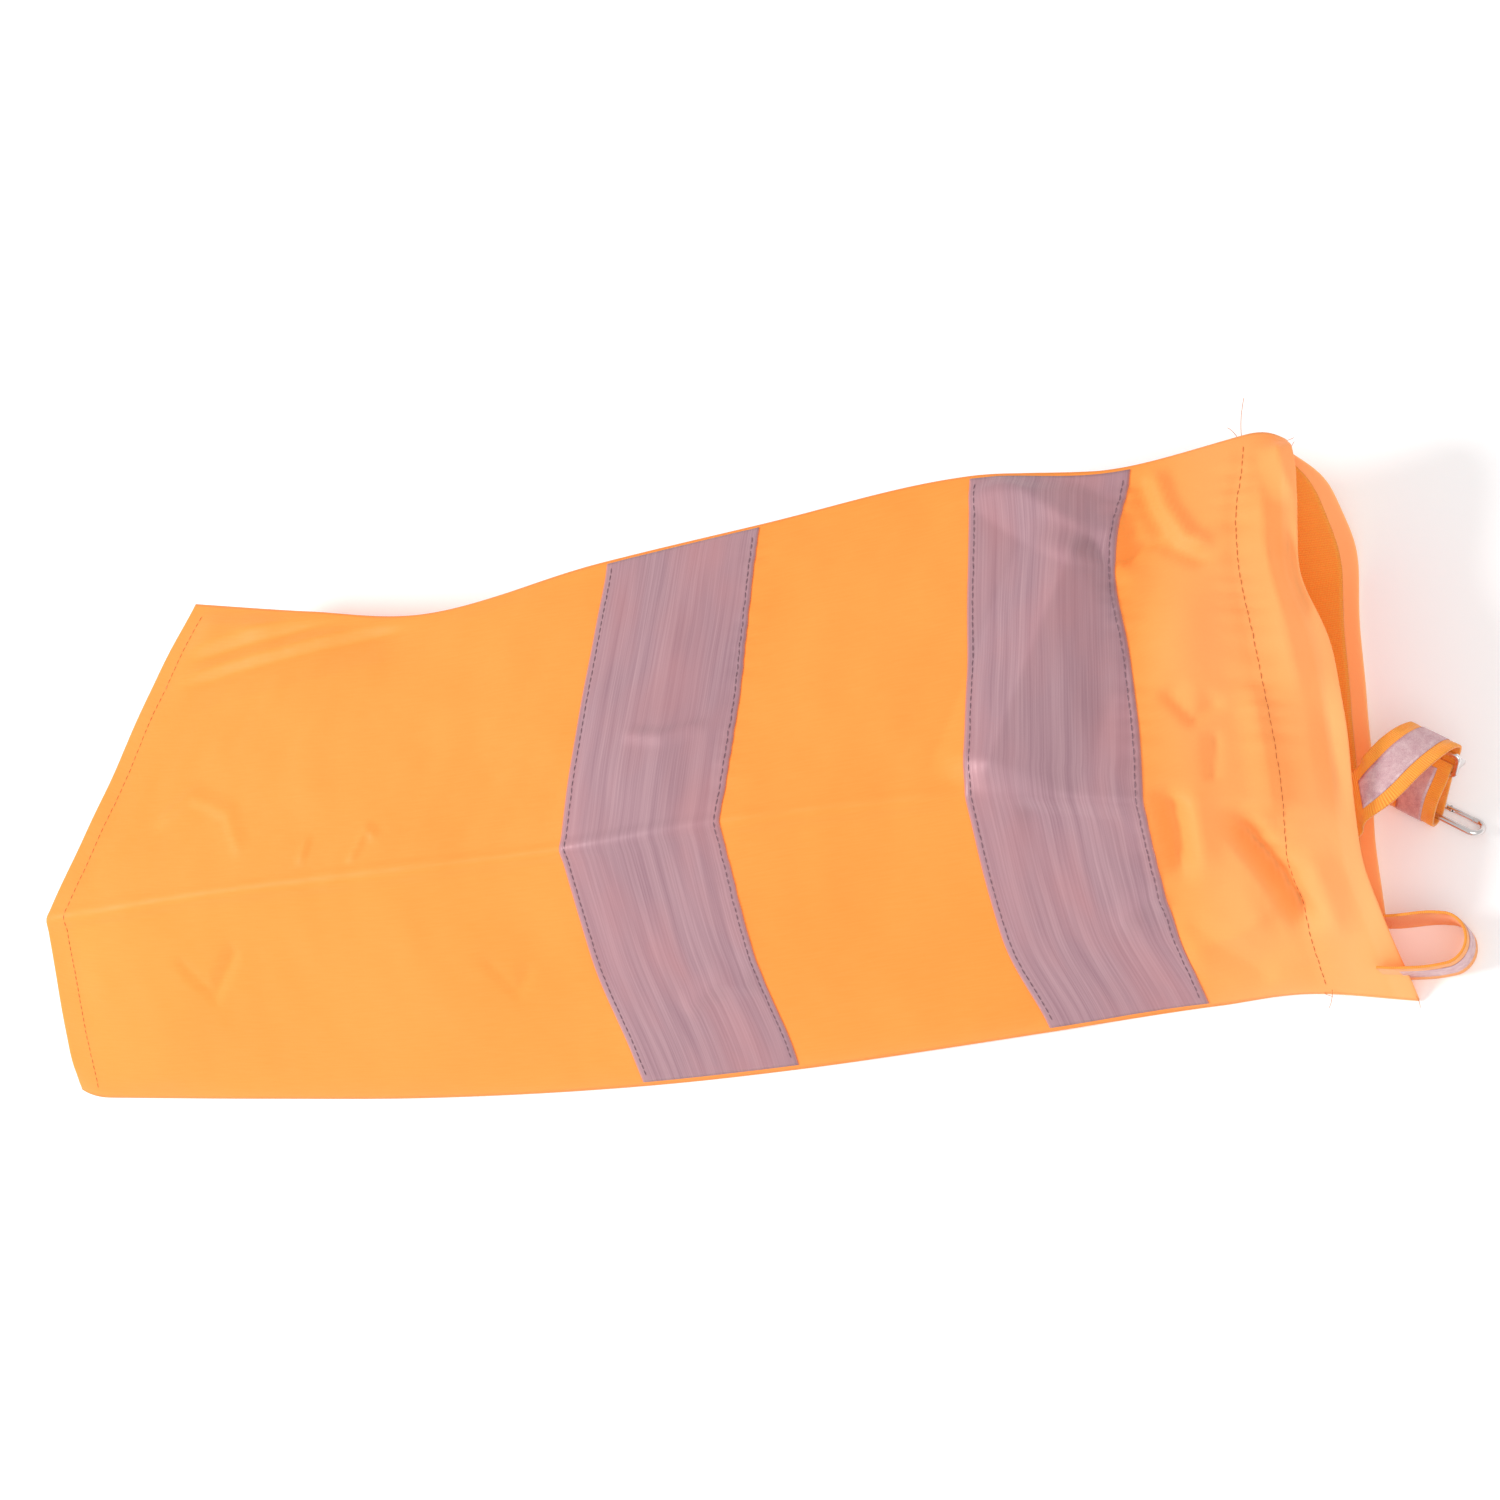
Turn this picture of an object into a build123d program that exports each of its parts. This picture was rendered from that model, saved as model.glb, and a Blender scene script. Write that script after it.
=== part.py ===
from build123d import *
import os
from math import atan2, cos, hypot, radians, sin

# A fabric windsock lying flat and half open on a floor. X runs along the sock towards its mouth,
# Y across it towards the top seam, Z up. The origin is at the middle of its box, on the floor.
# Lengths are in millimetres, angles in degrees.

# Cloth, webbing and thread
cloth = 1.2
band = 0.8
hem = 0.8
seam = 0.8
thread_width = 0.8
thread_height = 0.35
thread_lift = 0.1
layer_gap = 0.4
webbing_width = 30.0
webbing = 1.6
stripe_width = 15.0
stripe = 0.4

# Sock
band_width = 100.0
tail_hem_width = 18.0
mouth_hem_width = 48.0
mouth_webbing_inset = 8.0
stitch_inset = 3.5

# Strap: its fold holds the snap hook, and the stretch above the fold runs up through the slide
strap_heading = 58.0
strap_slope = 46.6
fold_centre = (422.0, -38.5, 9.4)
fold_radius = 5.5
straight_length = 45.0
slide_station = 34.0

# Tri-glide slide
slide_wire = 1.25
slide_length = 13.0
slide_inner = 32.5
slide_offset = 2.8

# Snap hook
hook_wire = 1.75
hook_rear = 12.0
hook_front = 33.0
gate_wire = 1.5
gate_end = 30.4
gate_pivot = 16.5
lug_thickness = 1.2
lug_radius = 1.6
pin_radius = 0.7
pin_running_gap = 0.05
pin_length = 3.4

os.makedirs("parts", exist_ok=True)


def save(piece, name):
    piece.part.label = name
    export_step(piece.part, f"parts/{name}.step")


# ---- Sock sections -------------------------------------------------------------------------
# Each section stands on a vertical plane that may turn a little about Z: "front" and "back" are its
# X at the bottom seam and at the top seam. The front panel runs bottom seam, slope, ridge, saddle,
# top seam; the back panel lies on the floor from the bottom seam to "lift", then rises to the top
# seam.


def section(front, back, seam_y, slope, ridge, saddle, top, lift, floor):
    return dict(
        front=front, back=back, seam_y=seam_y, slope=slope, ridge=ridge,
        saddle=saddle, top=top, lift=lift, floor=floor,
    )


def between(a, b, share):
    """The section a share of the way from section a to section b."""
    def mix(p, q):
        if isinstance(p, tuple):
            return tuple(mix(m, n) for m, n in zip(p, q))
        return p + (q - p) * share

    return {key: mix(a[key], b[key]) for key in a}


tail = section(-459.0, -354, -155, (-106, 47), (-57, 91), (50, 78), (155, 60), 78, 0.0)
shoulder = section(-310, -251, -163, (-108, 60), (-55, 112), (38, 99), (131, 80), 48, 0.0)
dent = section(-197, -167, -168, (-110, 62), (-54, 117), (32, 106), (116, 88), 34, 0.0)
band_1_tail = section(-40, -40, -168, (-109, 61), (-51, 118), (42, 109), (132, 93), 52, band)
band_1_mouth = section(60, 60, -163, (-103, 61), (-43, 118), (50, 109), (142, 93), 62, band)
band_2_tail = section(209, 196, -150, (-94, 57), (-39, 110), (58, 102), (155, 90), 76, band)
band_2_mouth = section(309, 296, -141, (-95, 52), (-48, 99), (52, 94), (150, 84), 78, band)
hem_line = section(366, 350, -138, (-98, 44), (-47, 74), (58, 82), (162, 76), 92, 0.0)
rim = section(414, 374, -145, (-103, 38), (-45, 57), (60, 72), (168, 70), 100, 0.0)

sock = [tail, shoulder, dent, band_1_tail, band_1_mouth, band_2_tail, band_2_mouth, hem_line, rim]


def section_turn(st):
    return atan2(st["back"] - st["front"], st["top"][0] - st["seam_y"])


def section_plane(st):
    turn = section_turn(st)
    return Plane(
        origin=(st["front"], st["seam_y"], 0),
        x_dir=(sin(turn), cos(turn), 0),
        z_dir=(cos(turn), -sin(turn), 0),
    )


def on_plane(st, points):
    """Section points (y, z) as points of the section's own plane."""
    stretch = 1 / cos(section_turn(st))
    return [((y - st["seam_y"]) * stretch, z) for y, z in points]


def front_path(st):
    start = (st["seam_y"], st["floor"] + 2 * cloth + layer_gap)
    return on_plane(st, [start, st["slope"], st["ridge"], st["saddle"], st["top"]])


def back_path(st):
    top_y, top_z = st["top"]
    end = (top_y, top_z - cloth - 3.5 * layer_gap)
    lift = (st["lift"], st["floor"])
    return on_plane(st, [(st["seam_y"], st["floor"]), lift, end])


def shifted(path, distance):
    """The path moved to its left by distance, with mitred corners."""
    normals = []
    for (x0, y0), (x1, y1) in zip(path, path[1:]):
        length = hypot(x1 - x0, y1 - y0)
        normals.append((-(y1 - y0) / length, (x1 - x0) / length))
    moved = []
    for i, (x, y) in enumerate(path):
        a = normals[max(i - 1, 0)]
        b = normals[min(i, len(normals) - 1)]
        reach = distance / (1 + a[0] * b[0] + a[1] * b[1])
        moved.append((x + (a[0] + b[0]) * reach, y + (a[1] + b[1]) * reach))
    return moved


def trimmed(path, amount):
    """The path with the same length cut from both ends."""
    def cut(p, q):
        share = amount / hypot(q[0] - p[0], q[1] - p[1])
        return (p[0] + (q[0] - p[0]) * share, p[1] + (q[1] - p[1]) * share)

    return [cut(path[0], path[1]), *path[1:-1], cut(path[-1], path[-2])]


def layer(stations, path_of, inner, outer, trim=0.0):
    """A strip of cloth between two offsets of the panel's outline, lofted through the stations."""
    with BuildPart() as piece:
        for st in stations:
            path = path_of(st)
            near = shifted(path, inner)
            far = shifted(path, outer)
            if trim:
                near = trimmed(near, trim)
                far = trimmed(far, trim)
            with BuildSketch(section_plane(st)):
                with BuildLine():
                    Polyline(*near, *reversed(far), close=True)
                make_face()
        loft(ruled=True)
    return piece


# The front panel's inside is on its right, the back panel's on its left.
front_panel = layer(sock, front_path, 0, -cloth)
save(front_panel, "front_panel")
back_panel = layer(sock, back_path, 0, cloth)
save(back_panel, "back_panel")

# ---- Reflective bands ----------------------------------------------------------------------
bands = {"band_1": (band_1_tail, band_1_mouth), "band_2": (band_2_tail, band_2_mouth)}
for band_name, edges in bands.items():
    band_front = layer(edges, front_path, band, 0, trim=1.5)
    save(band_front, f"{band_name}_front")
    band_back = layer(edges, back_path, 0, -band, trim=1.5)
    save(band_back, f"{band_name}_back")


def stitch_row(edges, centre, offset, path_of=front_path, trim=4.0):
    """One row of thread across the sock, a share of the way between two sections."""
    half = thread_width / 2 / (edges[1]["front"] - edges[0]["front"])
    ends = [between(*edges, centre - half), between(*edges, centre + half)]
    face = offset + thread_lift
    return layer(ends, path_of, face + thread_height, face, trim)


def stitching(rows, name):
    with BuildPart() as thread:
        for row in rows:
            add(row.part)
    save(thread, name)


for band_name, edges in bands.items():
    margin = stitch_inset / band_width
    rows = [stitch_row(edges, share, band) for share in (margin, 1 - margin)]
    stitching(rows, f"{band_name}_stitching")

# ---- Hems, seams and the webbing inside the mouth ------------------------------------------
tail_hem_line = between(tail, shoulder, tail_hem_width / (shoulder["front"] - tail["front"]))
tail_hem_front = layer([tail, tail_hem_line], front_path, -cloth, -cloth - hem, trim=8.0)
save(tail_hem_front, "tail_hem_front")
tail_hem_back = layer([tail, tail_hem_line], back_path, cloth, cloth + hem, trim=8.0)
save(tail_hem_back, "tail_hem_back")
stitching([stitch_row((tail, tail_hem_line), 0.85, 0.0)], "tail_hem_stitching")

mouth_hem_front = layer([hem_line, rim], front_path, -cloth, -cloth - hem, trim=9.0)
save(mouth_hem_front, "mouth_hem_front")
mouth_hem_back = layer([hem_line, rim], back_path, cloth, cloth + hem, trim=9.0)
save(mouth_hem_back, "mouth_hem_back")
stitching([stitch_row((hem_line, rim), 0.02, 0.0)], "mouth_hem_stitching")

mouth_webbing_edges = [
    between(hem_line, rim, 1 - (mouth_webbing_inset + webbing_width) / mouth_hem_width),
    between(hem_line, rim, 1 - mouth_webbing_inset / mouth_hem_width),
]
webbing_face = cloth + hem
mouth_webbing_front = layer(
    mouth_webbing_edges, front_path, -webbing_face, -webbing_face - webbing, trim=14.0
)
save(mouth_webbing_front, "mouth_webbing_front")
mouth_webbing_back = layer(
    mouth_webbing_edges, back_path, webbing_face, webbing_face + webbing, trim=14.0
)
save(mouth_webbing_back, "mouth_webbing_back")


def seam_path(corner, first, second):
    """From 5 to 12 mm inside a corner of the section, along the line that halves it."""
    directions = []
    for x, y in (first, second):
        length = hypot(x - corner[0], y - corner[1])
        directions.append(((x - corner[0]) / length, (y - corner[1]) / length))
    bx = directions[0][0] + directions[1][0]
    by = directions[0][1] + directions[1][1]
    length = hypot(bx, by)
    return [(corner[0] + bx / length * r, corner[1] + by / length * r) for r in (6.0, 12.0)]


def bottom_seam_path(st):
    front = front_path(st)
    back = back_path(st)
    corner = (front[0][0], (front[0][1] + back[0][1]) / 2)
    return seam_path(corner, front[1], (back[1][0], corner[1]))


def top_seam_path(st):
    front = front_path(st)
    back = back_path(st)
    corner = (front[-1][0], (front[-1][1] + back[-1][1]) / 2)
    return seam_path(corner, front[-2], back[-2])


seam_stations = [tail_hem_line, *sock[1:-1]]
bottom_seam = layer(seam_stations, bottom_seam_path, seam / 2, -seam / 2)
save(bottom_seam, "bottom_seam")
top_seam = layer(seam_stations, top_seam_path, seam / 2, -seam / 2)
save(top_seam, "top_seam")


# ---- Strap with its reflective stripe ------------------------------------------------------
def heading(angle):
    return Vector(cos(radians(angle)), sin(radians(angle)), 0)


rim_turn = section_turn(rim)
rim_along = Vector(-sin(rim_turn), -cos(rim_turn), 0)


def rim_point(y, z, outside):
    """A point a given distance outside the mouth's rim."""
    share = (y - rim["seam_y"]) / (rim["top"][0] - rim["seam_y"])
    x = rim["front"] + (rim["back"] - rim["front"]) * share
    return Vector(x + outside, y, z)


strap_width_dir = heading(strap_heading - 90)
strap_up = heading(strap_heading) * cos(radians(strap_slope)) + Vector(
    0, 0, sin(radians(strap_slope))
)
strap_normal = strap_width_dir.cross(strap_up)
fold_middle = Vector(*fold_centre)


def on_loop(along, out):
    """A point of the strap's end loop, from the fold's middle along the strap and out of its face."""
    return fold_middle + strap_up * along + strap_normal * out


def ribbon(stations, width, thickness, offset=0.0):
    """A flat band made stretch by stretch through stations of (middle, width direction, cut)."""
    middles = [station[0] for station in stations]
    cuts = []
    for i, (middle, across, cut) in enumerate(stations):
        tangent = (middles[min(i + 1, len(middles) - 1)] - middles[max(i - 1, 0)]).normalized()
        face_normal = across.cross(tangent).normalized()
        middle_of_face = middle + face_normal * offset
        cuts.append((Plane(middle_of_face, x_dir=across, z_dir=face_normal.cross(across)), width * cut))
    with BuildPart() as piece:
        for start, end in zip(cuts[:-1], cuts[1:]):
            for plane, full_width in (start, end):
                with BuildSketch(plane):
                    Rectangle(full_width, thickness)
            loft(ruled=True)
    return piece


fold_steps = 6
fold_arc = [-90 - 180 * step / fold_steps for step in range(fold_steps + 1)]
root_cut = 1.2
strap_stations = [
    (rim_point(-41, 46, 0.6), rim_along, root_cut),
    (Vector(414, -31, 48), heading(-52), 1.0),
    (Vector(424, -22, 48.5), heading(-44), 1.0),
    (Vector(432.5, -15, 46.5), heading(-37), 1.0),
    (Vector(437.5, -11, 43), strap_width_dir, 1.0),
    (on_loop(straight_length, -fold_radius), strap_width_dir, 1.0),
    *[
        (
            on_loop(fold_radius * cos(radians(a)), fold_radius * sin(radians(a))),
            strap_width_dir,
            1.0,
        )
        for a in fold_arc
    ],
    (on_loop(8, 5.8), strap_width_dir, 1.0),
    (on_loop(13.5, 2.4), strap_width_dir, 1.0),
    (on_loop(18.5, -2.4), strap_width_dir, 1.0),
    (on_loop(23, -3.6), strap_width_dir, 1.0),
]
strap_webbing = ribbon(strap_stations, webbing_width, webbing)
save(strap_webbing, "strap_webbing")
stripe_offset = (webbing + stripe) / 2
strap_stripe = ribbon(strap_stations[:-2], stripe_width, stripe, stripe_offset)
save(strap_stripe, "strap_stripe")

strap_root_stations = [
    (rim_point(-41, 46, -0.6), rim_along, root_cut),
    (Vector(393, -49, 45), heading(-60), 1.0),
    (Vector(378, -60, 44.5), heading(-52), 1.0),
]
strap_root = ribbon(strap_root_stations, webbing_width, webbing)
save(strap_root, "strap_root")

# ---- Slide ---------------------------------------------------------------------------------
slide_middle = on_loop(slide_station, -fold_radius)
slide_half = slide_inner / 2 + slide_wire
bar_plane = Plane(slide_middle + strap_normal * slide_offset, x_dir=strap_width_dir, z_dir=strap_normal)
with BuildPart() as slide:
    with BuildSketch(bar_plane):
        RectangleRounded(2 * (slide_half + slide_wire), slide_length + 2 * slide_wire, 4)
        RectangleRounded(2 * (slide_half - slide_wire), slide_length - 2 * slide_wire, 2, mode=Mode.SUBTRACT)
    extrude(amount=slide_wire, both=True)
    fillet(slide.edges().group_by(SortBy.LENGTH)[-1], 0.9)
    with BuildSketch(Plane(slide_middle, x_dir=strap_width_dir, z_dir=strap_up)):
        with BuildLine():
            outer = [
                (-slide_half - slide_wire, -slide_offset),
                (-slide_half - slide_wire, slide_offset + slide_wire),
                (slide_half + slide_wire, slide_offset + slide_wire),
                (slide_half + slide_wire, -slide_offset),
                (slide_half - slide_wire, -slide_offset),
                (slide_half - slide_wire, slide_offset - slide_wire),
                (-slide_half + slide_wire, slide_offset - slide_wire),
                (-slide_half + slide_wire, -slide_offset),
            ]
            Polyline(*outer, close=True)
        make_face()
    extrude(amount=slide_wire, both=True)
save(slide, "slide")

# ---- Snap hook -----------------------------------------------------------------------------
hook_down = strap_normal * -1
hook_plane = Plane(fold_middle, x_dir=strap_width_dir, z_dir=strap_width_dir.cross(hook_down))
hook_width = 2 * fold_radius
with BuildPart() as hook_body:
    with BuildLine(hook_plane) as hook_line:
        side_bar = Line((gate_pivot - 4.5, hook_width), (-hook_rear, hook_width))
        rear_turn = ThreePointArc(
            side_bar @ 1, (-hook_rear - fold_radius, fold_radius), (-hook_rear, 0)
        )
        spine = Line(rear_turn @ 1, (hook_front, 0))
        front_turn = ThreePointArc(
            spine @ 1, (hook_front + fold_radius, fold_radius), (hook_front, hook_width)
        )
        Line(front_turn @ 1, (gate_end + 0.8, hook_width))
    with BuildSketch(Plane(origin=hook_line.line @ 0, z_dir=hook_line.line % 0)):
        Circle(hook_wire)
    sweep()
    with BuildSketch(hook_plane):
        with Locations((gate_pivot - 2.4, hook_width)):
            Rectangle(4.8, 2 * lug_radius)
        with Locations((gate_pivot, hook_width)):
            Circle(lug_radius)
    extrude(amount=lug_thickness / 2, both=True)
    with BuildSketch(hook_plane):
        with Locations((gate_pivot, hook_width)):
            Circle(pin_radius + pin_running_gap)
    extrude(amount=hook_width, both=True, mode=Mode.SUBTRACT)
save(hook_body, "hook_body")

gate_rear = gate_pivot - 2.2
with BuildPart() as hook_gate:
    gate_plane = Plane(
        hook_plane.from_local_coords((gate_rear, hook_width, 0)),
        x_dir=hook_down,
        z_dir=strap_width_dir,
    )
    with BuildSketch(gate_plane):
        Circle(gate_wire)
    extrude(amount=gate_end - gate_rear)
    slot_length = 5.4
    with BuildSketch(hook_plane):
        with Locations((gate_rear + slot_length / 2 - 0.5, hook_width)):
            Rectangle(slot_length + 1, 4 * gate_wire)
    extrude(amount=lug_thickness / 2 + 0.15, both=True, mode=Mode.SUBTRACT)
    with BuildSketch(hook_plane):
        with Locations((gate_pivot, hook_width)):
            Circle(pin_radius)
    extrude(amount=hook_width, both=True, mode=Mode.SUBTRACT)
save(hook_gate, "hook_gate")

with BuildPart() as gate_pin:
    with BuildSketch(hook_plane):
        with Locations((gate_pivot, hook_width)):
            Circle(pin_radius)
    extrude(amount=pin_length / 2, both=True)
save(gate_pin, "gate_pin")

# ---- Loop at the lower corner of the mouth, standing on its edge ----------------------------
upright = Vector(0, 0, 1)
loop_middle_z = webbing_width / 2
loop_bend = Vector(436, -118, loop_middle_z)
loop_bend_radius = 14.0
loop_steps = 6
loop_stations = [
    (rim_point(-104, loop_middle_z, 0.8), upright, 1.0),
    *[
        (
            loop_bend + heading(90 - 180 * step / loop_steps) * loop_bend_radius,
            upright,
            1.0,
        )
        for step in range(loop_steps + 1)
    ],
    (rim_point(-133, loop_middle_z, 0.8), upright, 1.0),
]
loop_webbing = ribbon(loop_stations, webbing_width, webbing)
save(loop_webbing, "loop_webbing")
loop_stripe = ribbon(loop_stations[1:-1], stripe_width, stripe, stripe_offset)
save(loop_stripe, "loop_stripe")
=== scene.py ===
import math

import bpy
import numpy as np
from mathutils import Matrix, Vector


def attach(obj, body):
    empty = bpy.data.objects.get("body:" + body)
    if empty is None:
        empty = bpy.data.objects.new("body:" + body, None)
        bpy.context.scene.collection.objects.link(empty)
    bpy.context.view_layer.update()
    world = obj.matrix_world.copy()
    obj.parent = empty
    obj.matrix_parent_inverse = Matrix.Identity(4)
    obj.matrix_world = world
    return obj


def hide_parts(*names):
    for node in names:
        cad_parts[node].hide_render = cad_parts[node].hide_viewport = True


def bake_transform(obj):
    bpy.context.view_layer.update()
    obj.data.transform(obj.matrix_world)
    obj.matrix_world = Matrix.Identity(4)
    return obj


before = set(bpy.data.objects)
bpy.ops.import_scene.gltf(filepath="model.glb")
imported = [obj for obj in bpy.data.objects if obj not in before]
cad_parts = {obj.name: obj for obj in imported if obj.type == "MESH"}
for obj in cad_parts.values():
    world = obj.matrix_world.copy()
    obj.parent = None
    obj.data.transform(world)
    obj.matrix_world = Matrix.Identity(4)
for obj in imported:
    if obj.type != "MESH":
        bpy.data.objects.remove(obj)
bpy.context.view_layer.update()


rng = np.random.default_rng(7)

# ---- Sizes in metres ------------------------------------------------------------------------
CLOTH = 0.0005
TAPE = 0.00035
WEBBING = 0.0013
STRIPE = 0.0003
WEBBING_WIDTH = 0.030
STRIPE_WIDTH = 0.0155
TAIL_HEM = 0.018
HEM_GAP = 0.0011
CELL = 0.0024
STITCH_PITCH = 0.0046
STITCH_LENGTH = 0.0037
STITCH_RADIUS = 0.00028
LOOSE_THREAD_RADIUS = 0.00016
THREAD_SIDES = 6
STITCH_RINGS = 6


# ---- Nodes ----------------------------------------------------------------------------------
class Look:
    """A material made of nodes."""

    def __init__(self, name):
        self.material = bpy.data.materials.new(name)
        self.material.use_nodes = True
        self.tree = self.material.node_tree
        self.tree.nodes.clear()
        self.output = self.tree.nodes.new("ShaderNodeOutputMaterial")

    def add(self, kind, inputs=None, **settings):
        node = self.tree.nodes.new("ShaderNode" + kind)
        for key, value in settings.items():
            setattr(node, key, value)
        for key, value in (inputs or {}).items():
            socket = node.inputs[key]
            if isinstance(value, bpy.types.NodeSocket):
                self.tree.links.new(value, socket)
            else:
                socket.default_value = value
        return node

    def math(self, operation, a, b=0.0):
        return self.add("Math", {0: a, 1: b}, operation=operation).outputs[0]

    def mix(self, share, a, b):
        node = self.add("Mix", data_type="RGBA")
        for socket, value in ((node.inputs[0], share), (node.inputs[6], a), (node.inputs[7], b)):
            if isinstance(value, bpy.types.NodeSocket):
                self.tree.links.new(value, socket)
            else:
                socket.default_value = value
        return node.outputs[2]

    def spread(self, value, low, high, to_low=0.0, to_high=1.0):
        return self.add(
            "MapRange", {0: value, 1: low, 2: high, 3: to_low, 4: to_high}
        ).outputs[0]

    def noise(self, vector, scale, detail=3.0, rough=0.5):
        return self.add(
            "TexNoise", {"Vector": vector, "Scale": scale, "Detail": detail, "Roughness": rough}
        ).outputs[0]

    def scaled(self, vector, x, y, z=1.0):
        return self.add("Mapping", {"Vector": vector, "Scale": (x, y, z)}).outputs[0]

    def uv(self):
        return self.add("TexCoord").outputs["UV"]

    def solid(self):
        return self.add("TexCoord").outputs["Object"]

    def weave(self, vector, pitch):
        """Warp and weft as two crossed sets of ridges, one unit of the vector being a metre."""
        parts = self.add("SeparateXYZ", {0: vector})
        waves = [
            self.math("SINE", self.math("MULTIPLY", parts.outputs[i], 2 * math.pi / pitch))
            for i in (0, 1)
        ]
        return self.math("MULTIPLY", waves[0], waves[1])

    def finish(self, shader):
        self.tree.links.new(shader, self.output.inputs[0])
        return self.material


def rgb(red, green, blue):
    """A screen colour as the linear one that a shader takes."""
    def linear(c):
        c = c / 255
        return c / 12.92 if c <= 0.04045 else ((c + 0.055) / 1.055) ** 2.4

    return (linear(red), linear(green), linear(blue), 1.0)


WEAVE_PITCH = 0.0007
# painted light: a paler orange for the turned hem and the mouth's edge, standing in for the light
# that falls on them inside the shaded mouth
PAINTED_LIGHT_ON_LIP = rgb(255, 214, 150)


def cloth_look(name, light, dark, pale, painted_glow, through):
    """Thin fluorescent polyester: a fine weave, soft sheen, light through it and a little emission,
    which is painted light: the cloth shines by itself, standing in for the bright light on it.
    """
    k = Look(name)
    uv = k.uv()
    patches = k.noise(k.solid(), 7.0, 3.0)
    threads = k.noise(k.scaled(uv, 60.0, 900.0), 1.0, 2.0)
    share = k.math(
        "ADD", k.spread(patches, 0.3, 0.7, 0.0, 0.7), k.spread(threads, 0.35, 0.65, 0.0, 0.3)
    )
    colour = k.mix(share, light, dark)
    # the cloth is paler towards the mouth and at the seams
    paling = k.add("Attribute", attribute_name="paling").outputs["Fac"]
    colour = k.mix(k.math("MULTIPLY", paling, k.spread(patches, 0.3, 0.7, 0.5, 1.0)), colour, pale)
    # painted light: the turned hem and the mouth's edge are made paler, standing in for light on them
    lip = k.add("Attribute", attribute_name="lip").outputs["Fac"]
    colour = k.mix(k.math("MULTIPLY", lip, 0.85), colour, PAINTED_LIGHT_ON_LIP)
    weave = k.weave(uv, WEAVE_PITCH)
    crinkle = k.noise(k.solid(), 95.0, 4.0, 0.55)
    fine = k.add(
        "Bump", {"Strength": 0.25, "Distance": 0.00006, "Height": weave}
    ).outputs[0]
    bump = k.add(
        "Bump", {"Strength": 0.35, "Distance": 0.0008, "Height": crinkle, "Normal": fine}
    ).outputs[0]
    rough = k.spread(k.noise(k.solid(), 40.0), 0.3, 0.7, 0.5, 0.62)
    surface = k.add(
        "BsdfPrincipled",
        {
            "Base Color": colour,
            "Roughness": rough,
            "Normal": bump,
            "Specular IOR Level": 0.35,
            "Sheen Weight": 0.25,
            "Sheen Roughness": 0.4,
            "Sheen Tint": (1.0, 0.72, 0.5, 1.0),
            # the emission is painted light: the cloth shines by itself, standing in for the bright
            # light that falls on it
            "Emission Color": painted_glow,
            "Emission Strength": 0.15,
        },
    ).outputs[0]
    back_light = k.add("BsdfTranslucent", {"Color": colour, "Normal": bump}).outputs[0]
    mixed = k.add("MixShader", {0: through, 1: surface, 2: back_light}).outputs[0]
    return k.finish(mixed)


def tape_look(name):
    """Reflective tape: grey and pink with fine streaks along it."""
    k = Look(name)
    uv = k.uv()
    streaks = k.noise(k.scaled(uv, 900.0, 9.0), 1.0, 3.0, 0.6)
    broad = k.noise(k.scaled(uv, 140.0, 6.0), 1.0, 2.0)
    blotch = k.noise(k.scaled(uv, 22.0, 9.0), 1.0, 3.0)
    share = k.math(
        "ADD",
        k.spread(streaks, 0.38, 0.62, 0.0, 0.55),
        k.spread(broad, 0.4, 0.6, 0.0, 0.45),
    )
    grey = k.mix(share, rgb(183, 145, 152), rgb(158, 120, 130))
    colour = k.mix(k.spread(blotch, 0.42, 0.72, 0.0, 0.55), grey, rgb(192, 132, 134))
    edge = k.add("Attribute", attribute_name="edge").outputs["Fac"]
    colour = k.mix(k.spread(edge, 0.0, 0.0013, 0.75, 0.0), colour, rgb(226, 140, 124))
    height = k.math("ADD", streaks, k.math("MULTIPLY", k.weave(uv, 0.0006), 0.3))
    bump = k.add(
        "Bump", {"Strength": 0.3, "Distance": 0.00012, "Height": height}
    ).outputs[0]
    rough = k.spread(streaks, 0.3, 0.7, 0.38, 0.55)
    surface = k.add(
        "BsdfPrincipled",
        {
            "Base Color": colour,
            "Roughness": rough,
            "Metallic": 0.1,
            "Normal": bump,
            "Specular IOR Level": 0.3,
            "Sheen Weight": 0.1,
        },
    ).outputs[0]
    return k.finish(surface)


def webbing_look(name, light, dark):
    """Ribbed webbing: cross ribs and yarns, lighter on the tops as painted light and darker between
    them as painted shade, and shining a little by itself as painted light.
    """
    k = Look(name)
    uv = k.uv()
    parts = k.add("SeparateXYZ", {0: uv})
    ribs = k.math("SINE", k.math("MULTIPLY", parts.outputs[0], 2 * math.pi / 0.0011))
    yarns = k.math("SINE", k.math("MULTIPLY", parts.outputs[1], 2 * math.pi / 0.0009))
    height = k.math("ADD", ribs, k.math("MULTIPLY", yarns, 0.5))
    fuzz = k.noise(k.solid(), 900.0, 2.0)
    # painted light and shade: the rib tops get the light colour and the grooves the dark one
    share = k.math(
        "ADD", k.spread(height, -1.2, 1.2, 0.0, 0.7), k.math("MULTIPLY", fuzz, 0.3)
    )
    colour = k.mix(share, dark, light)
    bump = k.add(
        "Bump", {"Strength": 0.5, "Distance": 0.00022, "Height": height}
    ).outputs[0]
    surface = k.add(
        "BsdfPrincipled",
        {
            "Base Color": colour,
            "Roughness": k.spread(fuzz, 0.3, 0.7, 0.55, 0.75),
            "Normal": bump,
            "Sheen Weight": 0.4,
            # the emission is painted light: the webbing shines a little by itself
            "Emission Color": dark,
            "Emission Strength": 0.12,
        },
    ).outputs[0]
    return k.finish(surface)


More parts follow.
